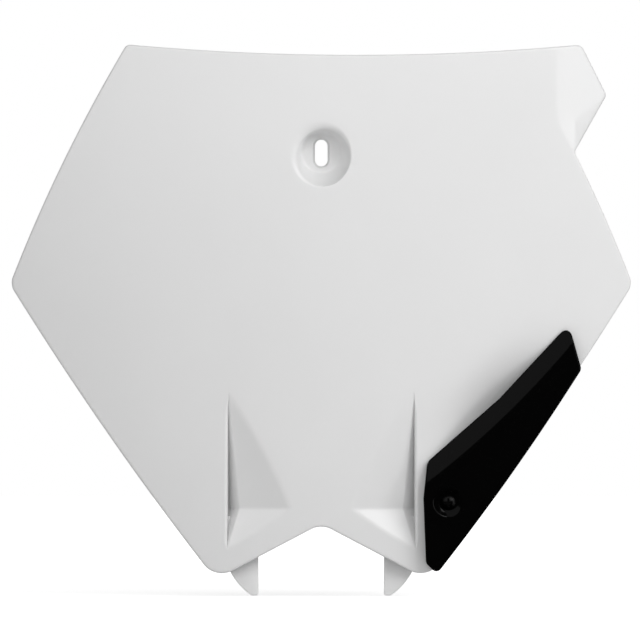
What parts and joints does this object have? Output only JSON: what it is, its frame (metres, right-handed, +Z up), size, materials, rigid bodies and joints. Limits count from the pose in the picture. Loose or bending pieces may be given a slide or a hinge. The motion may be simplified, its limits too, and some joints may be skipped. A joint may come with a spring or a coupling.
{
  "type": "racing number board",
  "caption": "Curved white front number board with a dished slot mount, faceted pockets, rear prongs, a bent ear and a black hose guard.",
  "frame": {"origin": "centre of the top slot, on the seat face at the back of the dished boss", "axes": "+X to the right as seen from the front, +Z up, and the front of the board faces -Y"},
  "size_m": [0.311, 0.0333, 0.276],
  "materials": {
    "white_plastic": "injection-moulded polypropylene, smooth with a soft gloss",
    "black_plastic": "injection-moulded, polished gloss",
    "black_steel": "blackened steel, satin"
  },
  "bodies": {
    "root": {"number_plate": "white_plastic", "hose_guard": "black_plastic", "guard_screw": "black_steel"}
  },
  "joints": []
}
